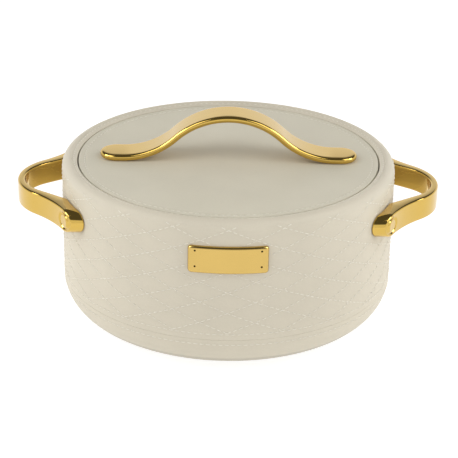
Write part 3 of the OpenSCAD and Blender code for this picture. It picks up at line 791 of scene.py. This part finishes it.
def lid_handle():
    """Wave handle: a crown arc that runs out into two flat ends."""
    foot_x = BOW_LEN / 2 - BOW_FOOT
    slope = 2 * math.atan2(BOW_RISE, foot_x)
    radius = foot_x / 2 / math.sin(slope)
    a1 = np.linspace(0, slope, BOW_POINTS)
    a2 = a1[::-1]
    low = LID_TOP_Z + BOW_T / 2
    foot = line((foot_x, low), (BOW_LEN / 2, low), 12)
    up = lambda a: np.stack([np.sin(a), np.cos(a)], 1)
    half = np.vstack([
        np.array([0, low + BOW_RISE - radius]) + radius * up(a1),
        np.array([foot_x, low + radius]) - radius * up(a2),
        foot,
    ])
    facing = np.vstack([up(a1), up(a2), np.tile([0.0, 1.0], (len(foot), 1))])
    flip = np.array([-1, 1])
    flat = np.vstack([half[:0:-1] * flip, half])
    norm = np.vstack([facing[:0:-1] * flip, facing])
    lift = lambda rows: np.column_stack([rows[:, 0], np.zeros(len(rows)), rows[:, 1]])
    path = even_path(lift(flat), lift(norm))
    top = lambda s: BOW_T / 2 + 0 * s
    under = lambda s: -BOW_T / 2 + 0 * s
    obj = band("lid_handle_gold", path, under, top, BOW_W / 2, BOW_EDGE, BOW_EDGE, (0, 1, 0), BOW_CROWN)
    return dress(obj, gold, "lid", "gold", "lid_handle")


def rounded_outline(half_w, half_h, corner, inset):
    """Closed outline of a rounded rectangle with the same number of points at any inset below the corner."""
    cx, cz, r = half_w - corner, half_h - corner, corner - inset
    parts = [
        arc((cx, cz), r, 0, 90, 6),
        line((cx, cz + r), (-cx, cz + r), 30)[1:-1],
        arc((-cx, cz), r, 90, 180, 6),
        line((-cx - r, cz), (-cx - r, -cz), 9)[1:-1],
        arc((-cx, -cz), r, 180, 270, 6),
        line((-cx, -cz - r), (cx, -cz - r), 30)[1:-1],
        arc((cx, -cz), r, 270, 360, 6),
        line((cx + r, -cz), (cx + r, cz), 9)[1:-1],
    ]
    return np.vstack(parts)


def name_plate():
    """Curved plate with rolled edges, drilled for its pins."""
    half_w, half_h = NAME_W / 2, NAME_H / 2
    outline = lambda inset: rounded_outline(half_w, half_h, NAME_CORNER, inset)
    rim = outline(NAME_EDGE)
    spine = np.column_stack([np.clip(rim[:, 0], -half_w + half_h, half_w - half_h), np.zeros(len(rim))])
    turn = np.radians(np.linspace(0, 90, 7))
    loops = [(rim + (spine - rim) * f, 0.0) for f in (1, 0.75, 0.5, 0.25, 0)]
    loops += [(outline(NAME_BACK_EDGE), 0.0), (outline(0.0), NAME_BACK_EDGE)]
    loops += [(outline(NAME_EDGE * (1 - math.cos(a))), NAME_T - NAME_EDGE * (1 - math.sin(a))) for a in turn]
    loops += [(rim + (spine - rim) * f, NAME_T) for f in (0.25, 0.5, 0.75, 1)]
    inner_r = BODY_R + FITTING_GAP
    points = []
    for loop, height in loops:
        r = inner_r + height
        a = np.arcsin(loop[:, 0] / r)
        points.append(np.column_stack([r * np.sin(a), -r * np.cos(a), NAME_MID_Z + loop[:, 1]]))
    obj = mesh_object("name_plate_gold", np.vstack(points), grid_faces(len(loops), len(rim)))
    drill_pin_holes(obj, inner_r)
    return dress(obj, plate_gold, "pot", "gold", "name_plate")


def drill_pin_holes(obj, inner_r):
    """Cuts four round holes square to the curved plate."""
    drill = bmesh.new()
    for x in (-PIN_X, PIN_X):
        for z in (-PIN_Z, PIN_Z):
            a = math.asin(x / (inner_r + NAME_T))
            out = Vector((math.sin(a), -math.cos(a), 0))
            turned = out.to_track_quat("Z", "Y").to_matrix().to_4x4()
            turned.translation = (out * inner_r + Vector((0, 0, PIN_MID_Z + z))) * MM
            bmesh.ops.create_cone(
                drill, cap_ends=True, segments=24, radius1=PIN_HOLE_R * MM, radius2=PIN_HOLE_R * MM,
                depth=4 * NAME_T * MM, matrix=turned,
            )
    cutter_mesh = bpy.data.meshes.new("pin_drill")
    drill.to_mesh(cutter_mesh)
    drill.free()
    cutter = bpy.data.objects.new("pin_drill", cutter_mesh)
    bpy.context.scene.collection.objects.link(cutter)
    cut = obj.modifiers.new("pin_holes", "BOOLEAN")
    cut.object = cutter
    cut.operation = "DIFFERENCE"
    cut.solver = "EXACT"
    done = bpy.data.meshes.new_from_object(obj.evaluated_get(bpy.context.evaluated_depsgraph_get()))
    obj.modifiers.clear()
    obj.data = done
    bpy.data.objects.remove(cutter)
    done.set_sharp_from_angle(angle=math.radians(PLATE_SHARP))


side_handle("side_handle_right_gold", "side_handle_right", False)
side_handle("side_handle_left_gold", "side_handle_left", True)
lid_handle()
name_plate()


# Steel bowl, lid pan and seal


def cup_profile(radius, low, high, fillet, wall, flange_r, flange_t):
    """Closed profile of a drawn cup with a flange at its top, from the axis."""
    inner = arc((radius - fillet, low + fillet), fillet, -90, 0, 16)
    outer = arc((radius - fillet, low + fillet), fillet + wall, 0, -90, 16)
    return chain(
        line((0, low), (radius - fillet, low), 12),
        inner,
        line((radius, low + fillet), (radius, high), 12),
        line((flange_r, high), (flange_r, high - flange_t), 2),
        line((radius + wall, high - flange_t), (radius + wall, low + fillet), 6),
        outer,
        line((radius - fillet, low - wall), (0, low - wall), 6),
    )[::-1]


bowl = revolve(
    "steel_bowl",
    cup_profile(BOWL_R, BOWL_FLOOR_Z, FLANGE_Z, BOWL_FILLET, BOWL_T, FLANGE_R, BOWL_T),
    sharp=DRAWN_SHARP,
)
dress(bowl, steel, "pot", "steel", "inner_bowl")
pan_inner = PLUG_FILLET - PAN_T
pan = revolve(
    "steel_lid_pan",
    cup_profile(PLUG_R - PAN_T, PLUG_Z + PAN_T, PAN_Z + PAN_T, pan_inner, PAN_T, PAN_FLANGE_R, PAN_T),
    sharp=DRAWN_SHARP,
)
dress(pan, steel, "lid", "steel", "lid_pan")

lip_in = LIP_R - LIP_T
lip_round_z = FLANGE_Z - LIP_H + LIP_ROUND
seal = revolve(
    "silicone_seal",
    chain(
        line((SEAL_R, FLANGE_Z), (SEAL_R, PAN_Z), 2),
        line((lip_in, PAN_Z), (lip_in, lip_round_z), 4),
        arc((lip_in + LIP_ROUND, lip_round_z), LIP_ROUND, 180, 270, 4),
        arc((LIP_R - LIP_ROUND, lip_round_z), LIP_ROUND, 270, 360, 4),
        line((LIP_R, lip_round_z), (LIP_R, FLANGE_Z), 4),
    ),
    sharp=SEAL_SHARP,
)
dress(seal, silicone, "seal", "silicone", "lid_seal")


# Nodes that keep their own shape

kept = {
    plastic: ["outer_shell", "rim_ring", "base_plate"],
    foam: ["insulation_foam", "lid_insulation"],
    rubber: ["foot_front_left", "foot_front_right", "foot_rear_left", "foot_rear_right"],
    screw_steel: [
        "base_screws", "side_handle_screws", "side_handle_washers", "lid_handle_screws", "lid_handle_washers",
    ],
    pin_gold_painted_dark: ["name_plate_pins"],
    board: ["lid_board"],
}
for material, names in kept.items():
    for name in names:
        nodes[name].data.materials.clear()
        nodes[name].data.materials.append(material)


# Studio

PHOTO_PX = 458
FOCAL_PX = 1627.5
CAMERA_AWAY = 1.400
CAMERA_EL = math.radians(24.28)
CAMERA_AZ = math.radians(-0.55)
CAMERA_ROLL = math.radians(1.06)
TARGET = Vector((0, 0, 0.067))
TARGET_PX = (227.3, 228.2)

# Radiance of the walls for diffuse light in front of the pot and behind it, the gain of that light at the
# sides, and the squared sideways share at which the gain is full
AMBIENT = (0.66, 1.74)
SIDE_GAIN = 1.85
SIDE_FULL = 0.6
# Radiance of the walls in reflections, the sines of the elevations between which they give way to the
# ceiling for diffuse light and in reflections, and the share of both radiances that the ceiling keeps
WALL_GLOW = 1.0
WALL_TOP = (0.355, 0.485)
SEEN_TOP = (0.354, 0.484)
CEILING = (0.21, 0.11)
# Softboxes at both sides of the front: place of the right one, what they face, size and powers
SOFTBOX_AT = (0.62, -0.38, 0.84)
SOFTBOX_AIM = (0, 0, 0.15)
SOFTBOX_SIZE = 0.6
LEFT_POWER = 2.55
RIGHT_POWER = 2.45
# Bright panel at each side, which only reflections show: direction of the right one, its radiance, and the
# cosines of the angles from its middle at which it begins and is full
PANEL_AT = (0.82, -0.10, 0.56)
PANEL_GLOW = 7.0
PANEL_EDGE = (math.cos(math.radians(14)), math.cos(math.radians(10)))
# Glow of the floor for diffuse light, and for the camera and reflections
FLOOR_GLOW = (0.57, 0.80)
FLOOR_COLOR = (0.40, 0.40, 0.398)
FLOOR_HALF = 4.0
SENSOR_W = 36.0


def add_camera():
    """Camera at the photograph's place, with the pot's target at its place in the picture."""
    camera = bpy.data.objects.new("camera", bpy.data.cameras.new("camera"))
    bpy.context.scene.collection.objects.link(camera)
    camera.data.sensor_width = SENSOR_W
    camera.data.lens = SENSOR_W * FOCAL_PX / PHOTO_PX
    front = Vector((0, -math.cos(CAMERA_EL), math.sin(CAMERA_EL)))
    back = Quaternion((0, 0, 1), CAMERA_AZ) @ front
    turn = (-back).to_track_quat("-Z", "Y") @ Quaternion((0, 0, 1), CAMERA_ROLL)
    off = Vector((PHOTO_PX / 2 - TARGET_PX[0], TARGET_PX[1] - PHOTO_PX / 2, 0))
    slide = turn @ off * (CAMERA_AWAY / FOCAL_PX)
    camera.rotation_mode = "QUATERNION"
    camera.rotation_quaternion = turn
    camera.location = TARGET + back * CAMERA_AWAY + slide
    bpy.context.scene.camera = camera


def add_softbox(name, place, power):
    """Square area lamp that faces the pot."""
    lamp = bpy.data.lights.new(name, "AREA")
    lamp.shape = "SQUARE"
    lamp.size = SOFTBOX_SIZE
    lamp.energy = power
    obj = bpy.data.objects.new(name, lamp)
    bpy.context.scene.collection.objects.link(obj)
    obj.location = place
    obj.rotation_mode = "QUATERNION"
    obj.rotation_quaternion = (Vector(SOFTBOX_AIM) - Vector(place)).to_track_quat("-Z", "Y")


def seen_rays(tree):
    """1 for rays from the camera and for reflected or transmitted ones, 0 for diffuse light."""
    path = tree.nodes.new("ShaderNodeLightPath")
    total = path.outputs["Is Camera Ray"]
    for ray in ("Is Glossy Ray", "Is Transmission Ray"):
        node = add_node(tree, "ShaderNodeMath", operation="MAXIMUM")
        tree.links.new(total, node.inputs[0])
        tree.links.new(path.outputs[ray], node.inputs[1])
        total = node.outputs[0]
    return total


def add_floor():
    """Pale floor that shows white where it is lit and keeps the pot's shadow."""
    corners = [(x * FLOOR_HALF, y * FLOOR_HALF, 0) for x, y in ((-1, -1), (1, -1), (1, 1), (-1, 1))]
    mesh = bpy.data.meshes.new("floor")
    mesh.from_pydata(corners, [], [(0, 1, 2, 3)])
    floor = bpy.data.objects.new("floor", mesh)
    bpy.context.scene.collection.objects.link(floor)
    material, tree, shader = new_material("white_floor", FLOOR_COLOR, 0.9)
    shader.inputs["Emission Color"].default_value = (1, 1, 1, 1)
    glow = ramp(tree, seen_rays(tree), 0, 1, *FLOOR_GLOW)
    tree.links.new(glow, shader.inputs["Emission Strength"])
    mesh.materials.append(material)


def product(tree, first, second):
    node = add_node(tree, "ShaderNodeMath", operation="MULTIPLY")
    tree.links.new(first, node.inputs[0])
    tree.links.new(second, node.inputs[1])
    return node.outputs[0]


def add_world():
    """White walls under a dark ceiling, with a bright panel at each side in reflections. For diffuse light
    the walls are brighter behind the pot than in front."""
    world = bpy.data.worlds.new("studio")
    bpy.context.scene.world = world
    world.use_nodes = True
    tree = world.node_tree
    background = tree.nodes["Background"]
    background.inputs["Color"].default_value = (1, 1, 1, 1)
    coords = tree.nodes.new("ShaderNodeTexCoord")
    axes = add_node(tree, "ShaderNodeSeparateXYZ", [("Vector", coords.outputs["Generated"])])
    seen = ramp(tree, axes.outputs["Z"], *SEEN_TOP, WALL_GLOW, WALL_GLOW * CEILING[1])
    aside = product(tree, axes.outputs["X"], axes.outputs["X"])
    gain = ramp(tree, aside, 0, SIDE_FULL, 1, SIDE_GAIN)
    around = product(tree, ramp(tree, axes.outputs["Y"], -1, 1, *AMBIENT), gain)
    diffuse = product(tree, around, ramp(tree, axes.outputs["Z"], *WALL_TOP, 1.0, CEILING[0]))
    either_side = add_node(tree, "ShaderNodeMath", [(0, axes.outputs["X"])], operation="ABSOLUTE").outputs[0]
    folded = add_node(
        tree, "ShaderNodeCombineXYZ", [("X", either_side), ("Y", axes.outputs["Y"]), ("Z", axes.outputs["Z"])]
    )
    toward = add_node(tree, "ShaderNodeVectorMath", [(0, folded.outputs[0])], operation="DOT_PRODUCT")
    toward.inputs[1].default_value = Vector(PANEL_AT).normalized()
    panel = ramp(tree, toward.outputs["Value"], *PANEL_EDGE, 0, PANEL_GLOW)
    lit = add_node(tree, "ShaderNodeMath", [(0, seen), (1, panel)], operation="ADD").outputs[0]
    level = add_node(tree, "ShaderNodeMix", [(0, seen_rays(tree)), (2, diffuse), (3, lit)])
    tree.links.new(level.outputs[0], background.inputs["Strength"])


add_camera()
add_floor()
add_world()
add_softbox("left_softbox", (-SOFTBOX_AT[0], *SOFTBOX_AT[1:]), LEFT_POWER)
add_softbox("right_softbox", SOFTBOX_AT, RIGHT_POWER)
bpy.context.scene.view_settings.view_transform = "Standard"
